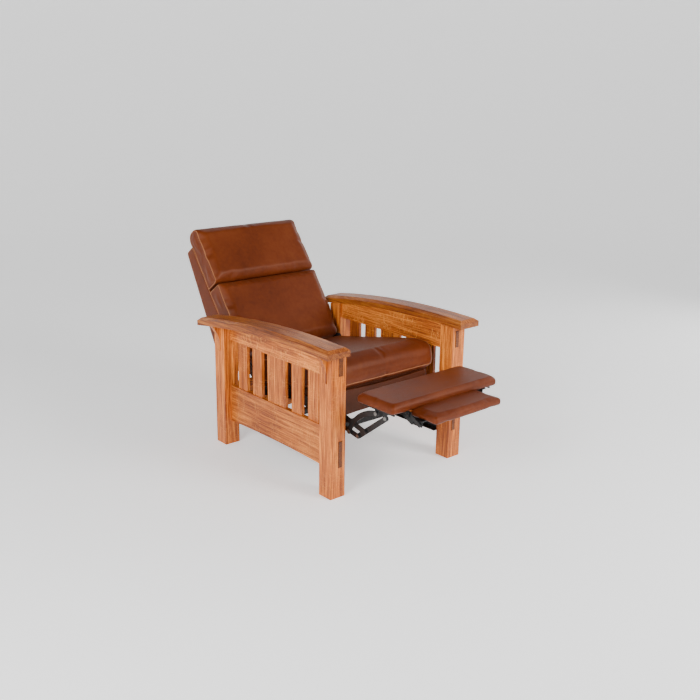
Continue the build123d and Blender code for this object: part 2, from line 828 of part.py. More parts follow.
# Footrest linkage, drawn with the footrest out
drive_angle = rise_angle(drive_pivot, knee_pivot)
riser_angle = rise_angle(knee_pivot, board_pivot)
control_foot = step_along(drive_pivot, drive_angle, control_reach)
control_head = (board_pivot[0] + control_tail, board_pivot[1] + control_rise)
riser_guide = step_along(knee_pivot, riser_angle, span(knee_pivot, board_pivot) * guide_share)

# Drive arms, welded to the torque tube that joins them
with BuildPart() as drive_frame:
    for side_name, side in sides:
        with BuildSketch(layer(side, 1)):
            strap(drive_pivot, knee_pivot, hub_width)
            for pivot in (drive_pivot, control_foot, knee_pivot):
                pierce(pivot, pin_radius + pin_gap)
        extrude(amount=plate_wall / 2, both=True)
    tube_end = outer_layer - plate_wall - layer_gap
    turned(1, -tube_end, tube_end, drive_pivot, torque_tube_radius)
    bore = torque_tube_radius - torque_tube_wall
    turned(1, -tube_end - overrun, tube_end + overrun, drive_pivot, pin_radius + pin_gap, Mode.SUBTRACT)
    turned(1, -tube_end + plate_wall, tube_end - plate_wall, drive_pivot, bore, Mode.SUBTRACT)
write(drive_frame, "drive_frame")

with BuildPart() as drive_pins:
    for side_name, side in sides:
        pin(side, 2, 1, knee_pivot)
        pin(side, 1, 0, control_foot)
write(drive_pins, "drive_pins")

# Risers from the knee to the board, each with the guide link's pin
with BuildPart() as riser_links:
    for side_name, side in sides:
        with BuildSketch(layer(side, 2)):
            strap(knee_pivot, board_pivot, link_width)
            for pivot in (knee_pivot, board_pivot):
                pierce(pivot, pin_radius + pin_gap)
        extrude(amount=plate_wall / 2, both=True)
        pin(side, 2, 1, riser_guide)
write(riser_links, "riser_links")

with BuildPart() as guide_links:
    for side_name, side in sides:
        with BuildSketch(layer(side, 1)):
            strap(guide_pivot, riser_guide, link_width)
            pierce(guide_pivot, pin_radius + pin_gap)
            pierce(riser_guide, guide_hole_radius)
        extrude(amount=plate_wall / 2, both=True)
write(guide_links, "guide_links")

# Bowed control links from the drive arms to the tail of the board brackets
control_length = span(control_foot, control_head)
bow_share = control_bow / control_length
control_middle = (
    (control_foot[0] + control_head[0]) / 2 + bow_share * (control_head[1] - control_foot[1]),
    (control_foot[1] + control_head[1]) / 2 + bow_share * (control_foot[0] - control_head[0]),
)
with BuildPart() as control_links:
    for side_name, side in sides:
        with BuildSketch(layer(side, 0)):
            with BuildLine(mode=Mode.PRIVATE) as control_line:
                ThreePointArc(control_foot, control_middle, control_head)
            SlotArc(control_line.edges()[0], link_width)
            pierce(control_foot, pin_radius + pin_gap)
            pierce(control_head, control_hole_radius)
        extrude(amount=plate_wall / 2, both=True)
write(control_links, "control_links")


# Footrest boards, padded and wrapped, as shallow cushions
board_top = board_pivot[1] + board_over_pivot
board_low = board_top - board_thickness
board_front = board_pivot[0] - board_ahead


def board_plane(x=0.0):
    """Side-view plane of the boards: local x runs back, y is up."""
    return Plane(origin=(x, 0, 0), x_dir=(0, 1, 0), z_dir=(1, 0, 0))


with BuildPart() as footrest_board:
    cushion(
        board_plane,
        board_half_width,
        (board_front, board_low),
        board_depth,
        board_thickness,
        board_crown,
        board_crown,
        board_round,
        board_end_share,
    )
write(footrest_board, "footrest_board")

extension_top = board_low - extension_step
extension_low = extension_top - extension_thickness
extension_front = board_front - extension_reach
with BuildPart() as extension_board:
    cushion(
        board_plane,
        extension_half_width,
        (extension_front, extension_low),
        extension_depth,
        extension_thickness,
        board_crown / 2,
        board_crown,
        board_round,
        board_end_share,
    )
write(extension_board, "extension_board")

# Pivots of the extension's parallel links
link_run = sqrt(extension_link**2 - extension_link_drop**2)
hanger_pivots = [
    (board_front + extension_front_pivot - extension_pivot_spacing + shift, board_low - extension_ear_drop)
    for shift in (0, extension_pivot_spacing)
]
lug_pivots = [(y - link_run, z - extension_link_drop) for y, z in hanger_pivots]
link_face = extension_layer + plate_wall + layer_gap
hanger_face = link_face + plate_wall + layer_gap

# Board brackets that take the risers, and hangers for the extension's links
with BuildPart() as board_brackets:
    under = board_low
    for side_name, side in sides:
        with BuildSketch(layer(side, 1)):
            plate_y = (board_pivot[0] - bracket_nose, board_pivot[0] + bracket_tail)
            with Locations((sum(plate_y) / 2, under - bracket_hang / 2)):
                Rectangle(plate_y[1] - plate_y[0], bracket_hang)
            for pivot in (board_pivot, control_head):
                strap(pivot, (pivot[0], under - hub_width / 2), hub_width)
            pierce(board_pivot, pin_radius + pin_gap)
            pierce(control_head, pin_radius + pin_gap)
        extrude(amount=plate_wall / 2, both=True)
        bracket_face_x = outer_layer - layer_gap
        flange_x = (side * (bracket_face_x - plate_wall - bracket_flange), side * bracket_face_x)
        block(flange_x, plate_y, (under - plate_wall, under))
        ear_y = (hanger_pivots[0][0] - hanger_width / 2, hanger_pivots[1][0] + hanger_width / 2)
        ear_z = (hanger_pivots[0][1] - hanger_width / 2, under)
        block((side * hanger_face, side * (hanger_face + plate_wall)), ear_y, ear_z)
        block((side * hanger_face, side * (hanger_face + bracket_flange)), ear_y, (under - plate_wall, under))
        for pivot in hanger_pivots:
            pin_hole = pin_radius + pin_gap
            turned(side, hanger_face - overrun, hanger_face + overrun, pivot, pin_hole, Mode.SUBTRACT)
write(board_brackets, "board_brackets")

with BuildPart() as board_pins:
    for side_name, side in sides:
        pin(side, 2, 1, board_pivot)
        pin(side, 1, 0, control_head)
write(board_pins, "board_pins")

# Parallel links of the extension, each riveted to its own pins
for link_name, hanger_pivot, lug_pivot in zip(("front", "rear"), hanger_pivots, lug_pivots):
    with BuildPart() as extension_links:
        for side_name, side in sides:
            with BuildSketch(Plane.YZ.offset(side * (link_face + plate_wall / 2))):
                strap(hanger_pivot, lug_pivot, extension_link_width)
            extrude(amount=plate_wall / 2, both=True)
            turned(side, link_face, hanger_face + plate_wall + pin_gap, hanger_pivot, pin_radius)
            head_x = hanger_face + plate_wall + pin_gap
            turned(side, head_x, head_x + rivet_head, hanger_pivot, rivet_radius)
            turned(side, extension_layer - pin_gap, link_face, lug_pivot, pin_radius)
            head_x = extension_layer - pin_gap
            turned(side, head_x - rivet_head, head_x, lug_pivot, rivet_radius)
    write(extension_links, f"extension_links_{link_name}")

# Angle brackets under the extension, with the lugs for its links
with BuildPart() as extension_brackets:
    under = extension_low
    for side_name, side in sides:
        lug_y = (lug_pivots[0][0] - extension_link_width / 2, lug_pivots[1][0] + extension_link_width / 2)
        lug_x = (side * extension_layer, side * (extension_layer + plate_wall))
        block(lug_x, lug_y, (under - extension_lug_drop, under))
        flange_x = (side * (extension_layer + plate_wall - bracket_flange - foot_tab / 3), lug_x[1])
        flange_y = (lug_y[0], extension_front + extension_depth - board_round / 2)
        block(flange_x, flange_y, (under - plate_wall, under))
        for pivot in lug_pivots:
            reach = (extension_layer - overrun / 4, extension_layer + plate_wall + overrun / 4)
            turned(side, *reach, pivot, pin_radius + pin_gap, Mode.SUBTRACT)
write(extension_brackets, "extension_brackets")
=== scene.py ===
# %% [markdown]
# # A slatted oak reclining armchair, dressed for its portrait
# The chair's wood and steel come from an exact engineering model. This script loads that
# model, gives every surface a finish made of shader nodes, and upholsters the soft parts
# with cloth simulation. Each step is explained first and then carried out. Lengths are in
# metres; the chair's right is -X, its front is -Y and up is +Z.

# %% Load the exact model
import json
import math

import bmesh
import bpy
from mathutils import Matrix, Vector


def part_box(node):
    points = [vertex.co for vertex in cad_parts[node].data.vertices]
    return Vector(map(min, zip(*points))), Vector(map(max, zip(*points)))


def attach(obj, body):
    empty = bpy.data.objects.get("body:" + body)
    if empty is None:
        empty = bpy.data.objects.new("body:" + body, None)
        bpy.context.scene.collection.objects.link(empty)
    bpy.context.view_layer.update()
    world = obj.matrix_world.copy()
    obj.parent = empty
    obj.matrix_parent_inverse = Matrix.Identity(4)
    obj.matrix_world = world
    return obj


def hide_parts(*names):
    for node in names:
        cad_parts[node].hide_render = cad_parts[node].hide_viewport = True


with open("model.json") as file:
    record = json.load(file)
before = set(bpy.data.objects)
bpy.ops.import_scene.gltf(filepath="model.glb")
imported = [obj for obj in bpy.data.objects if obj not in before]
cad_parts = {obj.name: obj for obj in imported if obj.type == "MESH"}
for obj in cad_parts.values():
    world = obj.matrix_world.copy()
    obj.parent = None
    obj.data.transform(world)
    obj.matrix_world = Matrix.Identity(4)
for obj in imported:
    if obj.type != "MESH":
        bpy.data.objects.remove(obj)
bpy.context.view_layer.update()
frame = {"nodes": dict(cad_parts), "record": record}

# %% [markdown]
# ## Camera
# The photograph looks down on the chair's right front corner. The camera's place and its
# three angles were worked out from the feet of the posts, which stand on one floor. A
# camera looks along its own -Z, so its matrix is built from the right, up and back ways.

# %% Place the camera
image_side = 700
focal_pixels = 919.12
sensor_width = 36.0
camera_place = Vector((-2.49443, -2.96011, 1.59872))
camera_yaw = 0.71478
camera_pitch = 0.28630
camera_roll = 0.01386


def camera_axes(yaw, pitch, roll):
    """Ways to the camera's right, up and back."""
    level_ahead = Vector((math.sin(yaw), math.cos(yaw), 0))
    ahead = math.cos(pitch) * level_ahead - math.sin(pitch) * Vector((0, 0, 1))
    level_right = Vector((math.cos(yaw), -math.sin(yaw), 0))
    level_up = level_right.cross(ahead)
    right = math.cos(roll) * level_right + math.sin(roll) * level_up
    up = math.cos(roll) * level_up - math.sin(roll) * level_right
    return right, up, -ahead


camera_reach = 60
camera_data = bpy.data.cameras.new("camera")
camera_data.sensor_width = sensor_width
camera_data.lens = sensor_width * focal_pixels / image_side
camera_data.clip_end = camera_reach
camera = bpy.data.objects.new("camera", camera_data)
camera.matrix_world = Matrix.Translation(camera_place) @ Matrix(
    camera_axes(camera_yaw, camera_pitch, camera_roll)
).transposed().to_4x4()
bpy.context.scene.collection.objects.link(camera)
bpy.context.scene.camera = camera
print("lens", round(camera_data.lens, 1), "mm")

# %% [markdown]
# ## Studio
# The photograph has soft light from large sheets and an almost white surround. Lamps of
# no size would cut hard shadows and a sky picture would hide what lights what, so area
# lights are used. The sides of the chair are brighter than its top, and the arms shade the
# rails below them, so the two main lights stand half high, one ahead and one to the left
# as the camera sees it. A weak third one on the right puts a sheen on the far edges.

# %% Hang the lights
world_glow = 0.10
# Place, width and height, and watts of each light.
lights = {
    "light_front": ((1.2, -3.7, 2.2), (1.6, 1.4), 142),
    "light_left": ((-3.7, -1.4, 2.3), (1.6, 1.4), 135),
    "light_right": ((3.7, -0.6, 1.4), (1.2, 1.8), 30),
}
aim = Vector((0, 0, 0.45))
for light_name, (place, light_size, watts) in lights.items():
    light_data = bpy.data.lights.new(light_name, "AREA")
    light_data.shape = "RECTANGLE"
    light_data.size, light_data.size_y = light_size
    light_data.energy = watts
    light = bpy.data.objects.new(light_name, light_data)
    light.location = place
    light.rotation_euler = (aim - Vector(place)).to_track_quat("-Z", "Y").to_euler()
    bpy.context.scene.collection.objects.link(light)
world = bpy.data.worlds.new("studio")
bpy.context.scene.world = world
world.use_nodes = True
world.node_tree.nodes["Background"].inputs["Color"].default_value = (1, 1, 1, 1)
world.node_tree.nodes["Background"].inputs["Strength"].default_value = world_glow
print("lights", len(lights))

# %% [markdown]
# ## Writing materials as sums
# A node material is a sum of textures and masks. Its nodes could be linked one by one,
# but that hides the sum in long lists. `Field` wraps one socket, so that Python's own
# signs add the Math nodes, and the recipes below read like formulas.


# %% Wrap sockets so that they add up
class Field:
    """One number or colour that varies over a surface."""

    def __init__(self, finish, socket):
        self.finish = finish
        self.socket = socket

    def combine(self, operation, first, second):
        return self.finish.node("ShaderNodeMath", {"operation": operation}, {0: first, 1: second})

    def __add__(self, other):
        return self.combine("ADD", self, other)

    def __radd__(self, other):
        return self.combine("ADD", other, self)

    def __sub__(self, other):
        return self.combine("SUBTRACT", self, other)

    def __mul__(self, other):
        return self.combine("MULTIPLY", self, other)

    def __rmul__(self, other):
        return self.combine("MULTIPLY", other, self)

    def above(self, edge, soft):
        """Mask that rises from 0 to 1 across a soft edge."""
        settings = {"interpolation_type": "SMOOTHSTEP"}
        inputs = {"Value": self, "From Min": edge - soft, "From Max": edge + soft}
        return self.finish.node("ShaderNodeMapRange", settings, inputs)


print("socket sums ready")

# %% [markdown]
# `Finish` holds a material while it is made. It makes any node from its type, settings and
# inputs, has short names for the textures used most, and sets the shader's own sockets.


# %% Build materials from short calls
class Finish:
    """A material under construction."""

    def __init__(self, name):
        self.material = bpy.data.materials.new(name)
        self.material.use_nodes = True
        self.tree = self.material.node_tree
        self.shader = self.tree.nodes["Principled BSDF"]

    def feed(self, socket, value):
        """Links a field to a socket, or sets a plain value on it."""
        if isinstance(value, Field):
            self.tree.links.new(value.socket, socket)
        elif hasattr(value, "__len__") and socket.type == "RGBA" and len(value) == 3:
            socket.default_value = (*value, 1)
        else:
            socket.default_value = value

    def node(self, kind, settings, inputs, output=0):
        """Any node, returned as the field of one output."""
        made = self.tree.nodes.new(kind)
        for name, value in settings.items():
            setattr(made, name, value)
        for name, value in inputs.items():
            self.feed(made.inputs[name], value)
        return Field(self, made.outputs[output])

    def place(self, scale, offset=(0, 0, 0)):
        """Object coordinates, stretched per axis and moved."""
        where = self.node("ShaderNodeTexCoord", {}, {}, "Object")
        inputs = {"Vector": where, "Scale": scale, "Location": offset}
        return self.node("ShaderNodeMapping", {}, inputs)

    def even(self, scale, offset=(0, 0, 0)):
        """Object coordinates, stretched alike on all axes."""
        return self.place((scale, scale, scale), offset)

    def noise(self, where, detail, rough=0.55, swirl=0.0):
        """Cloudy noise of about one cell per unit of where."""
        inputs = {"Vector": where, "Scale": 1.0, "Detail": detail}
        inputs.update({"Roughness": rough, "Distortion": swirl})
        return self.node("ShaderNodeTexNoise", {}, inputs)

    def blend(self, amount, first, second, mode="MIX"):
        """Mix of two colours."""
        made = self.tree.nodes.new("ShaderNodeMix")
        made.data_type = "RGBA"
        made.blend_type = mode
        for number, value in ((0, amount), (6, first), (7, second)):
            self.feed(made.inputs[number], value)
        return Field(self, made.outputs[2])

    def bump(self, height, strength, distance, under=None):
        """Normal that follows a height, over another bump if there is one."""
        inputs = {"Height": height, "Strength": strength, "Distance": distance}
        if under is not None:
            inputs["Normal"] = under
        return self.node("ShaderNodeBump", {}, inputs)

    def set(self, **values):
        """Feeds the shader's own sockets, by their names."""
        for name, value in values.items():
            self.feed(self.shader.inputs[name.replace("_", " ")], value)


print("material helpers ready")

# %% [markdown]
# ## Oak
# Quartersawn oak shows three things: long streaks of light and dark growth along the
# board, fine open pores, and pale ray flecks that run across the grain. A picture of one
# plank would repeat from board to board, so all three are noise, stretched by different
# amounts along and across the board. Boards differ in tone, so one recipe takes the way of
# the grain, an offset, a tone and the strength of the flecks. End grain drinks more stain,
# so the front ends of the rails and arms turn dark where the board is cut.

# %% Mix the oak
oak_dark = (0.225, 0.046, 0.0065)
oak_middle = (0.510, 0.124, 0.014)
oak_light = (0.820, 0.262, 0.036)
oak_fleck = (0.880, 0.350, 0.066)
oak_tone_tint = (1.0, 0.985, 0.96)
end_grain = (0.060, 0.014, 0.003)
# How far ahead of the middle the front end's face lies, and how dark it turns.
end_grain_starts = {"rail": (0.4083, 0.86), "arm": (0.4413, 0.30)}
# Each noise's scale along the grain and across it.
growth_scales = (2.2, 62)
streak_scales = (7.0, 240)
pore_scales = (38, 1150)
ray_scales = (150, 34)


def stretched(grain, along, across):
    """Scale per axis: slow along the grain, fast across it."""
    return tuple(along if axis == grain else across for axis in "xyz")


def make_oak(name, grain, offset, tone, fleck):
    oak = Finish(name)

    def along_grain(scales, *shape):
        return oak.noise(oak.place(stretched(grain, *scales), offset), *shape)

    sway = oak.noise(oak.even(2.3, offset), 2.0)
    growth = along_grain(growth_scales, 5.0, 0.62, 1.1)
    streaks = along_grain(streak_scales, 4.0, 0.65, 0.2)
    pores = along_grain(pore_scales, 2.0, 0.5)
    rays = along_grain(ray_scales, 3.0, 0.55, 1.8)
    patches = oak.noise(oak.even(11, offset), 2.0, 0.5)
    depth = 0.50 * growth + 0.60 * streaks + 0.18 * sway - 0.14
    full_range = {"Value": depth, "From Min": 0.40, "From Max": 0.62}
    shade = oak.node("ShaderNodeMapRange", {}, full_range)
    low = oak.blend(shade.above(0.25, 0.25), oak_dark, oak_middle)
    base = oak.blend(shade.above(0.72, 0.28), low, oak_light)
    pore_mask = pores.above(0.63, 0.05)
    base = oak.blend(0.55 * pore_mask, base, tuple(0.45 * part for part in oak_dark))
    ray_mask = rays.above(0.58, 0.035) * patches.above(0.50, 0.10) * (0.55 * fleck)
    base = oak.blend(ray_mask, base, oak_fleck)
    toned = oak.blend(1.0, base, tuple(tone * part for part in oak_tone_tint), "MULTIPLY")
    for kind, (start, darkening) in end_grain_starts.items():
        if grain == "y" and kind in name:
            where = {"Vector": oak.even(1)}
            behind = oak.node("ShaderNodeSeparateXYZ", {}, where, "Y")
            end_mask = (-1 * behind).above(start, 0.0002)
            toned = oak.blend(darkening * end_mask, toned, end_grain)
    height = 0.6 * streaks - 1.2 * pore_mask + 0.3 * ray_mask
    oak.set(
        Base_Color=toned,
        Roughness=0.36 + 0.12 * streaks - 0.10 * ray_mask + 0.18 * pore_mask,
        Specular_IOR_Level=0.28,
        Coat_Weight=0.07,
        Coat_Roughness=0.18,
        Normal=oak.bump(height, 0.35, 0.0004),
    )
    return oak.material


print("oak recipe ready")

# %% [markdown]
# Every board is cut from its own part of the noise, and posts, slats and corbels have
# their grain upright. The arms are the darkest boards in the photograph: darker and redder
# than the rails, with their tone lowered further as painted shade for their dimly lit tops.

# %% Give each board its oak
# Way of the grain, offset into the noise, tone and strength of the flecks.
oak_boards = {
    "post_": ("z", (3.1, 7.7, 1.2), 1.06, 0.35),
    # Arm tone 0.57 is partly the oak's own darker tone and partly painted shade for the dim arm
    # tops.
    "arm_": ("y", (8.3, 1.9, 4.4), 0.57, 0.4),
    "top_rail_": ("y", (2.6, 5.1, 9.3), 1.0, 1.3),
    "lower_rail_": ("y", (6.9, 3.3, 2.8), 0.84, 0.7),
    "slat_right_": ("z", (1.4, 9.2, 6.1), 1.02, 0.6),
    "slat_left_": ("z", (4.7, 2.2, 8.6), 0.90, 0.9),
    "corbel_": ("z", (9.9, 6.4, 3.7), 0.88, 0.4),
    "rear_rail": ("x", (5.8, 8.1, 7.2), 0.9, 0.8),
    "arm_dowels": ("z", (7.4, 4.2, 5.5), 0.95, 0.3),
}
finish_of_node = {}
for prefix, (grain, offset, tone, fleck) in oak_boards.items():
    material = make_oak("oak_" + prefix.strip("_"), grain, offset, tone, fleck)
    for node_name in frame["nodes"]:
        if node_name.startswith(prefix):
            finish_of_node[node_name] = material
print("oak boards", len(finish_of_node))

# %% [markdown]
# ## Steel, wire and hidden wood
# The mechanism is enamelled black, with a dull orange-peel skin and small chips. Its
# rivets, screws and bolts are dull zinc, the springs are dark drawn wire, and the frame
# inside the back is plain softwood. Flat colours would look like plastic, so each has a
# noise or a crystal texture that also moves its gloss.

# %% Mix the other hard finishes
enamel = Finish("black_enamel")
peel = enamel.noise(enamel.even(260), 3.0)
dust = enamel.noise(enamel.even(14), 4.0)
chips = enamel.noise(enamel.even(95), 5.0, 0.7).above(0.70, 0.02)
enamel_colour = enamel.blend(dust, (0.004, 0.004, 0.005), (0.014, 0.014, 0.014))
enamel.set(
    Base_Color=enamel.blend(chips, enamel_colour, (0.09, 0.085, 0.08)),
    Metallic=0.75 * chips,
    Roughness=0.30 + 0.25 * dust,
    Specular_IOR_Level=0.3,
    Coat_Weight=0.08,
    Coat_Roughness=0.3,
    Normal=enamel.bump(peel, 0.25, 0.0003),
)

zinc = Finish("zinc_plate")
crystal_cells = {"Vector": zinc.even(420), "Scale": 1.0}
crystals = zinc.node("ShaderNodeTexVoronoi", {"feature": "F1"}, crystal_cells)
tarnish = zinc.noise(zinc.even(60), 3.0)
zinc.set(
    Base_Color=zinc.blend(tarnish, (0.09, 0.09, 0.09), (0.34, 0.33, 0.31)),
    Metallic=1.0,
    Roughness=0.22 + 0.20 * crystals + 0.12 * tarnish,
    Normal=zinc.bump(crystals, 0.1, 0.0002),
)

wire = Finish("drawn_wire")
drawn = wire.noise(wire.even(300), 4.0)
wire.set(
    Base_Color=wire.blend(drawn, (0.10, 0.10, 0.10), (0.28, 0.27, 0.26)),
    Metallic=1.0,
    Roughness=0.30 + 0.25 * drawn,
    Normal=wire.bump(drawn, 0.1, 0.0002),
)

softwood = Finish("bare_softwood")
rings = softwood.noise(softwood.place((3, 60, 60)), 5.0, 0.6, 0.8)
softwood.set(
    Base_Color=softwood.blend(rings.above(0.5, 0.2), (0.42, 0.27, 0.14), (0.66, 0.48, 0.29)),
    Roughness=0.62 + 0.2 * rings,
    Normal=softwood.bump(rings, 0.3, 0.0004),
)
print("mixed", [made.material.name for made in (enamel, zinc, wire, softwood)])

# %% [markdown]
# The record names a slot for each node, and each slot has one of these finishes. Oak nodes
# already have theirs.

# %% Put the hard finishes on their nodes
slots = {
    "black_steel": enamel.material,
    "bright_steel": zinc.material,
    "spring_steel": wire.material,
    "frame_wood": softwood.material,
}
for row in frame["record"]["subparts"]:
    if row["material_slot"] in slots:
        finish_of_node[row["node"]] = slots[row["material_slot"]]


def cover(piece, material):
    """Gives a piece one material."""
    piece.data.materials.clear()
    piece.data.materials.append(material)


for node_name, material in finish_of_node.items():
    cover(frame["nodes"][node_name], material)
print("hard nodes finished", len(finish_of_node))

# %% [markdown]
# ## Leather
# The hide is chestnut brown with a semi-gloss top coat. Close up it has a pebbled grain of
# cells under two millimetres wide. Over a span of a hand the dye is lighter where the hide
# was stretched, and the gloss varies with it. The pebbles could be real bumps in the mesh,
# but they are too small to show in an outline. So they are a Voronoi texture that only
# moves the normal, and the colour stays calm. The apron and the four boards round the
# seat's springs, which are softwood in a wrap, get the same hide at half its tone: painted
# shade for the dark space under the seat.

# %% Mix the leather
# Deep, middle and pulled colour of the hide, and the paler colours of a seam's fold, which are a
# painted highlight.
chestnut = ((0.066, 0.0108, 0.0021), (0.116, 0.0210, 0.0043), (0.188, 0.0475, 0.0115))
chestnut_seam_highlight = ((0.210, 0.0700, 0.0260), (0.300, 0.1150, 0.0480), (0.380, 0.1700, 0.0800))


def make_leather(name, colours, offset=(0, 0, 0), tone=1.0):
    hide = Finish(name)
    cloud = hide.noise(hide.even(5.5, offset), 4.0, 0.6, 0.4)
    mottle = hide.noise(hide.even(55, offset), 4.0, 0.6)
    pebble_cells = {"Vector": hide.even(620, offset), "Scale": 1.0}
    pebble = hide.node("ShaderNodeTexVoronoi", {"feature": "DISTANCE_TO_EDGE"}, pebble_cells)
    creases = hide.noise(hide.even(130, offset), 5.0, 0.6, 1.6)
    tint = 0.75 * cloud + 0.35 * mottle - 0.05
    deep, middle, pulled = colours
    low = hide.blend(tint.above(0.38, 0.22), deep, middle)
    colour = hide.blend(0.55 * tint.above(0.66, 0.20), low, pulled)
    toned = hide.blend(1.0, colour, (tone, tone, tone), "MULTIPLY")
    grain = hide.bump(pebble, 0.22, 0.0003)
    hide.set(
        Base_Color=toned,
        Roughness=0.32 + 0.14 * mottle + 0.10 * cloud,
        Specular_IOR_Level=0.22,
        Specular_Tint=(1.0, 0.76, 0.60),
        Normal=hide.bump(creases, 0.22, 0.0010, grain),
    )
    return hide.material


leather = make_leather("leather_chestnut", chestnut)
# Painted shade: the same hide at half tone, for the apron and the seat frame's boards in the dark
# under the seat.
leather_shaded = make_leather("leather_under_seat", chestnut, (5.0, 2.0, 7.0), 0.5)
# Painted highlight: seams get a paler hide for the sheen along their raised folds.
leather_seam = make_leather("leather_seam", chestnut_seam_highlight, (3.0, 1.0, 2.0))
# The seat frame's boards get the half-tone hide as painted shade.
for board in ("side_right", "side_left", "front", "rear"):
    cover(frame["nodes"]["seat_frame_" + board], leather_shaded)
print("leather ready")

# %% [markdown]
# ## How a cushion is upholstered
# Each cushion is a block of foam in a sewn cover. It could be sculpted by hand, but then
# no size could be changed later. So a block is added at its size, its long edges are
# bevelled round, and it is remeshed to an even skin. Blender's cloth then blows it up a
# little with air pressure, so the faces crown and the sides pull in between the corners.
# First come the helpers that add a block and bevel some of its edges.

# %% Helpers for blocks
same_place = 1e-4


def deselect_all():
    for thing in bpy.context.selected_objects:
        thing.select_set(False)


def activate(thing):
    deselect_all()
    thing.select_set(True)
    bpy.context.view_layer.objects.active = thing


def add_block(name, low, high):
    """Cube primitive between two corners, with its size in its mesh."""
    deselect_all()
    middle = [(a + b) / 2 for a, b in zip(low, high)]
    bpy.ops.mesh.primitive_cube_add(size=1, location=middle)
    block = bpy.context.object
    block.name = name
    block.scale = [b - a for a, b in zip(low, high)]
    bpy.ops.object.transform_apply(location=True, rotation=True, scale=True)
    return block


def bevel_where(block, chosen, width, segments):
    """Bevels the edges for which chosen(first, second) is true."""
    activate(block)
    bpy.ops.object.mode_set(mode="EDIT")
    bpy.ops.mesh.select_all(action="DESELECT")
    bpy.ops.mesh.select_mode(type="EDGE")
    mesh = bmesh.from_edit_mesh(block.data)
    for edge in mesh.edges:
        edge.select_set(chosen(edge.verts[0].co, edge.verts[1].co))
    bmesh.update_edit_mesh(block.data)
    bpy.ops.mesh.bevel(offset=width, segments=segments, affect="EDGES", profile=0.5)
    bpy.ops.object.mode_set(mode="OBJECT")


def runs_along(axis):
    """Chooser of the edges that run along one axis."""
    return lambda first, second: abs(first[axis] - second[axis]) > max(
        abs(first[other] - second[other]) for other in range(3) if other != axis
    )


def edge_at(y=None, z=None):
    """Chooser of the edges that run across the chair at one place."""
    across = runs_along(0)

    def chosen(first, second):
        fits_y = y is None or abs(first.y - y) < same_place
        fits_z = z is None or abs(first.z - z) < same_place
        return across(first, second) and fits_y and fits_z

    return chosen


def ends_past(axis, place):
    """Chooser of the edges that lie wholly past a place on one axis."""
    return lambda first, second: min(first[axis], second[axis]) > place


def ends_before(axis, place):
    """Chooser of the edges that lie wholly before a place on one axis."""
    return lambda first, second: max(first[axis], second[axis]) < place


def rim_at(half):
    """Chooser of the edges round both end panels."""
    return lambda first, second: min(abs(first.x), abs(second.x)) > half - same_place


print("block helpers ready")

# %% [markdown]
# The skin is remeshed into even squares, because cloth needs points all over a face. The
# cloth pushes outwards from every point. A cap on the way each point may go keeps the
# shape near its block, and at last the skin is pressed flat on what is next to it.

# %% Helpers for skins
voxel = 0.006
cloth_frames = 20
cloth_stiffness = 15.0
cloth_quality = 4


def remesh(block, size=voxel):
    """Covers the block with even squares."""
    activate(block)
    block.data.remesh_voxel_size = size
    bpy.ops.object.voxel_remesh()


def blow_up(block, give, pressure):
    """Cloth pressure on the skin; no point moves further than give on each axis."""
    activate(block)
    start = [point.co.copy() for point in block.data.vertices]
    bpy.ops.object.modifier_add(type="CLOTH")
    cloth = block.modifiers[-1]
    cloth.settings.use_pressure = True
    cloth.settings.uniform_pressure_force = pressure
    cloth.settings.effector_weights.gravity = 0
    cloth.settings.tension_stiffness = cloth_stiffness
    cloth.settings.compression_stiffness = cloth_stiffness
    cloth.settings.quality = cloth_quality
    cloth.collision_settings.use_collision = False
    cloth.point_cache.frame_end = cloth_frames
    for number in range(1, cloth_frames + 1):
        bpy.context.scene.frame_set(number)
    bpy.ops.object.modifier_apply(modifier=cloth.name)
    bpy.context.scene.frame_set(1)
    for point, origin in zip(block.data.vertices, start):
        for axis in range(3):
            move = point.co[axis] - origin[axis]
            point.co[axis] = origin[axis] + min(max(move, -give[axis]), give[axis])


def smooth_skin(block, rounds, levels):
    """Relaxes the skin, then subdivides it."""
    activate(block)
    bpy.ops.object.modifier_add(type="SMOOTH")
    block.modifiers[-1].factor = 0.5
    block.modifiers[-1].iterations = rounds
    bpy.ops.object.modifier_apply(modifier=block.modifiers[-1].name)
    if levels:
        bpy.ops.object.modifier_add(type="SUBSURF")
        block.modifiers[-1].levels = levels
        block.modifiers[-1].render_levels = levels
        bpy.ops.object.modifier_apply(modifier=block.modifiers[-1].name)
    bpy.ops.object.shade_smooth()


def hold_inside(block, low, high):
    """Presses the skin flat against what is next to it."""
    for point in block.data.vertices:
        for axis in range(3):
            point.co[axis] = min(max(point.co[axis], low[axis]), high[axis])


print("skin helpers ready")

# %% [markdown]
# ## Where each cushion lies
# The seat slopes down to the back by 11 degrees and the back leans by 37 degrees, as in
# the photograph. A cushion could be made in its place, but a bevel or a cap is easier on a
# block that lies square. So each is made flat, with x across the chair, y along the
# cushion and z out of it, and then set down by a matrix that holds its three ways.

# %% Set up the seat's and the back's own axes
seat_place = Vector((0, -0.328, 0.410))
back_place = Vector((0, 0, 0))
seat_slope = math.radians(11.0)
back_lean = math.radians(36.9)
seat_ways = (Vector((1, 0, 0)), Vector((0, math.cos(seat_slope), -math.sin(seat_slope))))
back_ways = (Vector((1, 0, 0)), Vector((0, math.sin(back_lean), math.cos(back_lean))))


def set_down(ways, origin):
    """Matrix from a flat cushion to its place in the chair."""
    across, along = ways
    turn = Matrix((across, along, across.cross(along))).transposed().to_4x4()
    return Matrix.Translation(origin) @ turn


seat_matrix = set_down(seat_ways, seat_place)
back_matrix = set_down(back_ways, back_place)


def settle(piece, matrix, body):
    """Moves a leather piece into place and lets it ride on a body."""
    piece.data.transform(matrix)
    piece.data.update()
    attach(piece, body)


print("seat and back axes ready")
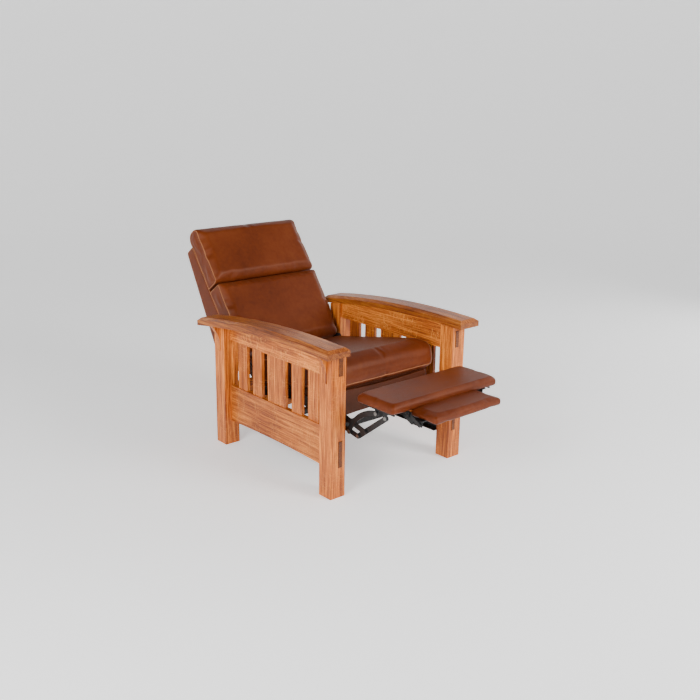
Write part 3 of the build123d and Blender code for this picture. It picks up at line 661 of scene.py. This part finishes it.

# %% [markdown]
# ## End seams
# Each cushion's cover is one long wrap with a flat panel sewn in at either end. The seam
# is a raised line of folded leather, painted paler as a highlight along its fold. A curve
# drawn by hand would float off the swollen skin, so the seam is cut from the skin itself: a
# copy is bisected by a plane, only the cut is kept, and that line gets a round section.


# %% Helpers for seams
def cut_seam(source, name, radius, place, way=(1, 0, 0), floor_level=-1.0):
    """Round seam where a plane cuts the skin, kept above a floor level."""
    activate(source)
    bpy.ops.object.duplicate()
    seam = bpy.context.object
    seam.name = name
    bpy.ops.object.mode_set(mode="EDIT")
    bpy.ops.mesh.select_all(action="SELECT")
    bpy.ops.mesh.bisect(
        plane_co=place, plane_no=way, clear_inner=True, clear_outer=True, use_fill=False
    )
    bpy.ops.object.mode_set(mode="OBJECT")
    for point in seam.data.vertices:
        point.co.z = max(point.co.z, floor_level)
    bpy.ops.object.convert(target="CURVE")
    seam.data.bevel_depth = radius
    seam.data.bevel_resolution = 2
    bpy.ops.object.convert(target="MESH")
    bpy.ops.object.shade_smooth()
    return seam


def end_seams(source, radius, place, floor_level=-1.0):
    """Seams round the right and the left end panel."""
    seams = []
    for side_name, side in (("right", -1), ("left", 1)):
        name = source.name + "_seam_" + side_name
        where = (side * place, 0, 0)
        seams.append(cut_seam(source, name, radius, where, floor_level=floor_level))
    return seams


print("seam helpers ready")

# %% [markdown]
# Where a cushion is clear of the steel plates it fills the space between the posts, so it
# is widened there. Each finished cushion then gets its leather, its place and the body that
# it rides on, and the node of the exact model that it stands for is hidden.


# %% Helpers that widen and dress a cushion
def spread(piece, most, start, end):
    """Widens a piece across the chair, from nothing at start to the most at end."""
    for point in piece.data.vertices:
        share = min(max((point.co.y - start) / (end - start), 0.0), 1.0)
        point.co.x *= 1 + most * share * share * (3 - 2 * share)


def dress(cushion, seams, matrix, body, node_name, hide=leather):
    """Puts a cushion and its seams in place of a node."""
    cover(cushion, hide)
    settle(cushion, matrix, body)
    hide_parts(node_name)
    for seam in seams:
        cover(seam, leather_seam)
        settle(seam, matrix, body)
    print(cushion.name, len(cushion.data.polygons), "faces")


print("dressing helpers ready")

# %% [markdown]
# ## Seat cushion
# A thick slab with a round nose at the front. It is the deepest cushion, so it crowns the
# most. Its sides stand between the steel plates and its base lies flat on the frame. A
# third seam runs round it low down, where the wrap is sewn to the base.

# %% Make the seat cushion
seam_radius = 0.0022
pad_half = 0.266
pad_reach = 0.2672
seat_front, seat_rear = -0.004, 0.618
seat_base, seat_face = 0.0005, 0.116
seat_nose, seat_under_nose, seat_rear_round, seat_side_round = 0.050, 0.040, 0.026, 0.015
seat_give = (0.003, 0.008, 0.016)
seat_cap_low = (-pad_reach, -0.010, seat_base)
seat_cap_high = (pad_reach, 0.624, 0.131)
seat_seam_place = 0.2585
seat_seam_floor = 0.003
low_seam_height = 0.015
seat_spread = (0.062, 0.400, 0.220)
cushion_pressure = 4.0

seat_cushion = add_block(
    "seat_pad", (-pad_half, seat_front, seat_base), (pad_half, seat_rear, seat_face)
)
bevel_where(seat_cushion, edge_at(y=seat_front, z=seat_face), seat_nose, 10)
bevel_where(seat_cushion, edge_at(y=seat_front, z=seat_base), seat_under_nose, 8)
bevel_where(seat_cushion, edge_at(y=seat_rear), seat_rear_round, 6)
bevel_where(seat_cushion, rim_at(pad_half), seat_side_round, 5)
remesh(seat_cushion)
blow_up(seat_cushion, seat_give, cushion_pressure)
smooth_skin(seat_cushion, 5, 1)
hold_inside(seat_cushion, seat_cap_low, seat_cap_high)
seat_seams = end_seams(seat_cushion, seam_radius, seat_seam_place, seat_seam_floor)
low_seam = cut_seam(
    seat_cushion, "seat_pad_seam_low", seam_radius, (0, 0, low_seam_height), (0, 0, 1)
)
seat_seams.append(low_seam)
for piece in (seat_cushion, *seat_seams):
    spread(piece, *seat_spread)
dress(seat_cushion, seat_seams, seat_matrix, "frame", "seat_cushion")

# %% [markdown]
# ## Back cushions
# Two pads lean on the back panel and meet in a deep crease. The head pad rolls over the
# panel's top edge. The same steps make both, with the head's top bevelled more, so one
# loop runs over a table of their ends and round edges.

# %% Make the lumbar and head cushions
pad_base, pad_face, pad_crown = -0.0784, 0.0165, 0.030
pad_give = (0.002, 0.003, 0.013)
pad_side_round = 0.007
pad_seam_place = 0.2625
lumbar_foot, lumbar_top = 0.521, 0.8735
head_foot, head_top = 0.8765, 1.1675
top_play = 0.0005
pad_spread = (0.060, 0.580, 0.680)
# Each pad's node, its two ends, and the radius of each long edge that is round.
lumbar_rounds = {(lumbar_foot, pad_face): 0.034, (lumbar_top, pad_face): 0.010}
head_rounds = {
    (head_foot, pad_face): 0.026,
    (head_top, pad_face): 0.036,
    (head_top, pad_base): 0.044,
}
back_pads = {
    "lumbar_pad": ("lumbar_cushion", lumbar_foot, lumbar_top, lumbar_rounds),
    "head_pad": ("head_cushion", head_foot, head_top, head_rounds),
}
for pad_name, (node_name, low_end, high_end, rounds) in back_pads.items():
    pad = add_block(pad_name, (-pad_half, low_end, pad_base), (pad_half, high_end, pad_face))
    for (edge_y, edge_z), radius in rounds.items():
        bevel_where(pad, edge_at(edge_y, edge_z), radius, 8)
    bevel_where(pad, rim_at(pad_half), pad_side_round, 3)
    remesh(pad)
    blow_up(pad, pad_give, cushion_pressure)
    smooth_skin(pad, 4, 1)
    pad_cap_low = (-pad_reach, low_end, pad_base)
    hold_inside(pad, pad_cap_low, (pad_reach, high_end + top_play, pad_crown))
    pad_seams = end_seams(pad, seam_radius, pad_seam_place, pad_base)
    for piece in (pad, *pad_seams):
        spread(piece, *pad_spread)
    dress(pad, pad_seams, back_matrix, "back", node_name)

# %% [markdown]
# ## Back panel
# Behind the pads is a stuffed wooden shell in the same leather: thin at the top, deep at
# the heel, with soft edges. The block's rear corners are moved to make the wedge, which
# keeps it one block, and its stiff boards need no air pressure.

# %% Make the back panel
shell_half = 0.276
shell_foot, shell_top = 0.505, 1.113
shell_front, shell_heel, shell_thin = -0.079, -0.229, -0.139
shell_heel_round, shell_top_round = 0.040, 0.010
shell_voxel = 0.008
shell_cap_low = (-shell_half, shell_foot, -0.2285)
shell_seam_radius, shell_seam_place = 0.0016, 0.2735
shell = add_block(
    "back_shell", (-shell_half, shell_foot, shell_heel), (shell_half, shell_top, shell_front)
)
for point in shell.data.vertices:
    if point.co.z < shell_thin and point.co.y > (shell_foot + shell_top) / 2:
        point.co.z = shell_thin
bevel_where(shell, edge_at(shell_foot, shell_heel), shell_heel_round, 8)
bevel_where(shell, ends_past(1, shell_top - same_place), shell_top_round, 4)
remesh(shell, shell_voxel)
smooth_skin(shell, 3, 1)
hold_inside(shell, shell_cap_low, (shell_half, shell_top, shell_front))
shell_seams = end_seams(shell, shell_seam_radius, shell_seam_place)
dress(shell, shell_seams, back_matrix, "back", "back_cover")

# %% [markdown]
# ## Footrest boards and apron
# Both footrest boards and the apron under the seat are boards with thin padding, wrapped
# in leather that is pulled to the underside. Each takes its size from its own node in the
# exact model, so it follows that model, and gets bevels and a light puff.

# %% Make the wrapped boards
board_voxel = 0.004
board_give = (0.001, 0.001, 0.009)
board_lift, board_crown = 0.0003, 0.008
# Node, body, rounds of the upper and lower edges, how much wider on each side and how
# much deeper at the rear than the node, and the air pressure.
wrapped = {
    "footrest_pad": ("footrest_board", "footboard", 0.014, 0.007, (0.006, 0.000), 9.0),
    "extension_pad": ("extension_board", "extension", 0.012, 0.005, (-0.001, 0.028), 3.0),
    "apron_pad": ("seat_apron", "frame", 0.005, 0.005, (0.000, 0.000), 2.0),
}
for pad_name, board_row in wrapped.items():
    node_name, body, top_roll, low_roll, (wider, deeper), pressure = board_row
    low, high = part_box(node_name)
    low, high = low - Vector((wider, 0, 0)), high + Vector((wider, deeper, 0))
    pad = add_block(pad_name, low, high)
    middle = (low.z + high.z) / 2
    bevel_where(pad, lambda a, b: max(a.z, b.z) > middle, top_roll, 6)
    bevel_where(pad, ends_before(2, low.z + same_place), low_roll, 3)
    remesh(pad, board_voxel)
    blow_up(pad, board_give, pressure)
    smooth_skin(pad, 8, 0)
    hold_inside(pad, low + Vector((0, 0, board_lift)), high + Vector((0, 0, board_crown)))
    # The apron under the seat gets the half-tone hide, which is painted shade.
    hide = leather_shaded if pad_name == "apron_pad" else leather
    dress(pad, (), Matrix.Identity(4), body, node_name, hide=hide)

# %% [markdown]
# ## Floor
# The studio is a pale bowl: a disc of floor that turns up into a round wall. A flat plane
# would end in a hard line behind the chair, so one cylinder makes both. Its lower rim is
# bevelled wide, its lid is taken off, and it glows faintly so that the surround stays
# light without hard light.

# %% Make the studio bowl
bowl_radius, bowl_height, bowl_foot_round = 9.5, 8.0, 3.0
deselect_all()
bpy.ops.mesh.primitive_cylinder_add(
    vertices=96, radius=bowl_radius, depth=bowl_height, location=(0, 0, bowl_height / 2)
)
bowl = bpy.context.object
bowl.name = "studio_bowl"
bpy.ops.object.transform_apply(location=True, rotation=True, scale=True)
bpy.ops.object.mode_set(mode="EDIT")
bpy.ops.mesh.select_all(action="DESELECT")
bowl_mesh = bmesh.from_edit_mesh(bowl.data)
for face in bowl_mesh.faces:
    face.select_set(face.calc_center_median().z > 0.9 * bowl_height)
bmesh.update_edit_mesh(bowl.data)
bpy.ops.mesh.delete(type="FACE")
bpy.ops.object.mode_set(mode="OBJECT")
bevel_where(bowl, ends_before(2, same_place), bowl_foot_round, 14)
bpy.ops.object.shade_smooth()
paper = Finish("studio_paper")
paper.set(
    Base_Color=(0.94, 0.94, 0.94),
    Roughness=0.95,
    Emission_Color=(1, 1, 1),
    Emission_Strength=0.42,
)
bowl.data.materials.append(paper.material)
print("studio bowl", len(bowl.data.polygons), "faces")
